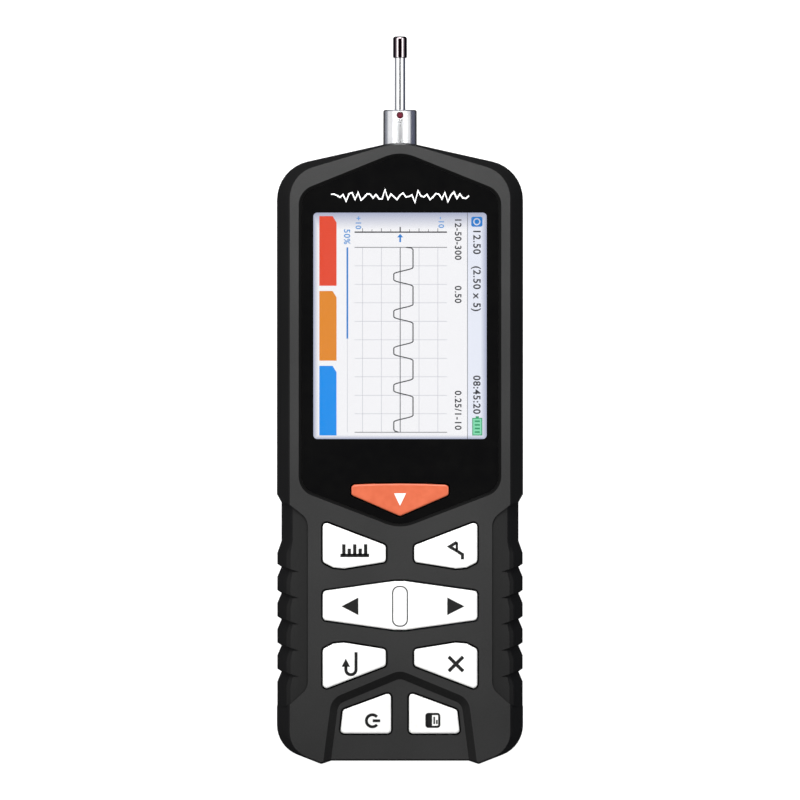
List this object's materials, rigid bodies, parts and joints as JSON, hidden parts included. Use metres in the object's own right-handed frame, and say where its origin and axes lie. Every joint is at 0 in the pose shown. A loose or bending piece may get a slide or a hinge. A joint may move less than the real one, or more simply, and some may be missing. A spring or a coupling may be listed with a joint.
{
  "type": "surface roughness tester",
  "caption": "Pocket instrument with a display, shaped keys, ribbed side grips and a stylus pickup that a screw drive draws across a surface to measure its roughness.",
  "frame": {"origin": "middle of the bounding box, on the plane of the flat back", "axes": "+Z out of the display, +Y along the body towards the stylus, +X to the right as the display faces the viewer with the stylus up"},
  "size_m": [0.0616, 0.1822, 0.0304],
  "materials": {
    "housing": "fine matt texture",
    "grip": "matt soft-touch",
    "window": "gloss",
    "display": "lit",
    "board": "solder mask",
    "silicone": "matt",
    "battery_wrap": "shrink film",
    "start_key": "satin",
    "white_key": "satin",
    "steel": "plain",
    "satin_steel": "satin turned",
    "polished_steel": "polished",
    "dark_chrome": "dark polished",
    "aluminium": "plain",
    "brass": "turned",
    "engineering_plastic": "moulded",
    "red_enamel": "gloss",
    "diamond": "ground"
  },
  "bodies": {
    "housing": {"front_shell": "housing", "rear_shell": "housing", "left_grip": "grip", "right_grip": "grip", "case_screws": "steel", "window_panel": "window", "display_module": "display", "main_board": "board", "board_screws": "steel", "key_mat": "silicone", "snap_domes": "polished_steel", "charging_socket": "steel", "battery_pack": "battery_wrap", "nose_bush": "brass", "drive_frame": "aluminium", "guide_rods": "polished_steel", "drive_screws": "steel", "drive_motor": "steel", "drive_gearbox": "brass", "screw_bearing": "brass"},
    "screw": {"lead_screw": "steel"},
    "pickup": {"pickup_holder": "satin_steel", "alignment_dot": "red_enamel", "stylus_tube": "polished_steel", "nosepiece": "dark_chrome", "stylus_pivot": "polished_steel", "carriage": "engineering_plastic", "drive_nut": "brass"},
    "stylus": {"stylus_arm": "steel", "stylus_tip": "diamond"},
    "rocker": {"rocker_key": "white_key"},
    "start_key_cap": {"start_key": "start_key"},
    "scale_key_cap": {"scale_key": "white_key"},
    "parameter_key_cap": {"parameter_key": "white_key"},
    "enter_key_cap": {"enter_key": "white_key"},
    "escape_key_cap": {"escape_key": "white_key"},
    "power_key_cap": {"power_key": "white_key"},
    "save_key_cap": {"save_key": "white_key"}
  },
  "joints": [
    {"name": "pickup_slide", "type": "slide", "parent": "housing", "child": "pickup", "axis": [0, 1, 0], "range_m": [-0.0125, 0]},
    {"name": "screw_spin", "type": "hinge", "parent": "housing", "child": "screw", "pos_m": [0.014, 0.032, 0.013], "axis": [0, 1, 0], "range_deg": [0, 6440]},
    {"name": "stylus_lift", "type": "hinge", "parent": "pickup", "child": "stylus", "pos_m": [0, 0.06037, 0.013], "axis": [1, 0, 0], "range_deg": [-0.45, 0.45], "stiffness_Nm_per_rad": 0.02},
    {"name": "rocker_tilt", "type": "hinge", "parent": "housing", "child": "rocker", "pos_m": [0, -0.05133, 0.02645], "axis": [0, 1, 0], "range_deg": [-2, 2], "stiffness_Nm_per_rad": 0.5, "deforming": ["key_mat"]},
    {"name": "start_press", "type": "slide", "parent": "housing", "child": "start_key_cap", "axis": [0, 0, 1], "range_m": [-0.0007, 0], "stiffness_N_per_m": 1500, "deforming": ["key_mat"]},
    {"name": "scale_press", "type": "slide", "parent": "housing", "child": "scale_key_cap", "axis": [0, 0, 1], "range_m": [-0.0007, 0], "stiffness_N_per_m": 1500, "deforming": ["key_mat"]},
    {"name": "parameter_press", "type": "slide", "parent": "housing", "child": "parameter_key_cap", "axis": [0, 0, 1], "range_m": [-0.0007, 0], "stiffness_N_per_m": 1500, "deforming": ["key_mat"]},
    {"name": "enter_press", "type": "slide", "parent": "housing", "child": "enter_key_cap", "axis": [0, 0, 1], "range_m": [-0.0007, 0], "stiffness_N_per_m": 1500, "deforming": ["key_mat"]},
    {"name": "escape_press", "type": "slide", "parent": "housing", "child": "escape_key_cap", "axis": [0, 0, 1], "range_m": [-0.0007, 0], "stiffness_N_per_m": 1500, "deforming": ["key_mat"]},
    {"name": "power_press", "type": "slide", "parent": "housing", "child": "power_key_cap", "axis": [0, 0, 1], "range_m": [-0.0007, 0], "stiffness_N_per_m": 1500, "deforming": ["key_mat"]},
    {"name": "save_press", "type": "slide", "parent": "housing", "child": "save_key_cap", "axis": [0, 0, 1], "range_m": [-0.0007, 0], "stiffness_N_per_m": 1500, "deforming": ["key_mat"]}
  ],
  "couplings": [
    {"joint": "screw_spin", "follows": "pickup_slide", "rad_per_m": -8976}
  ]
}
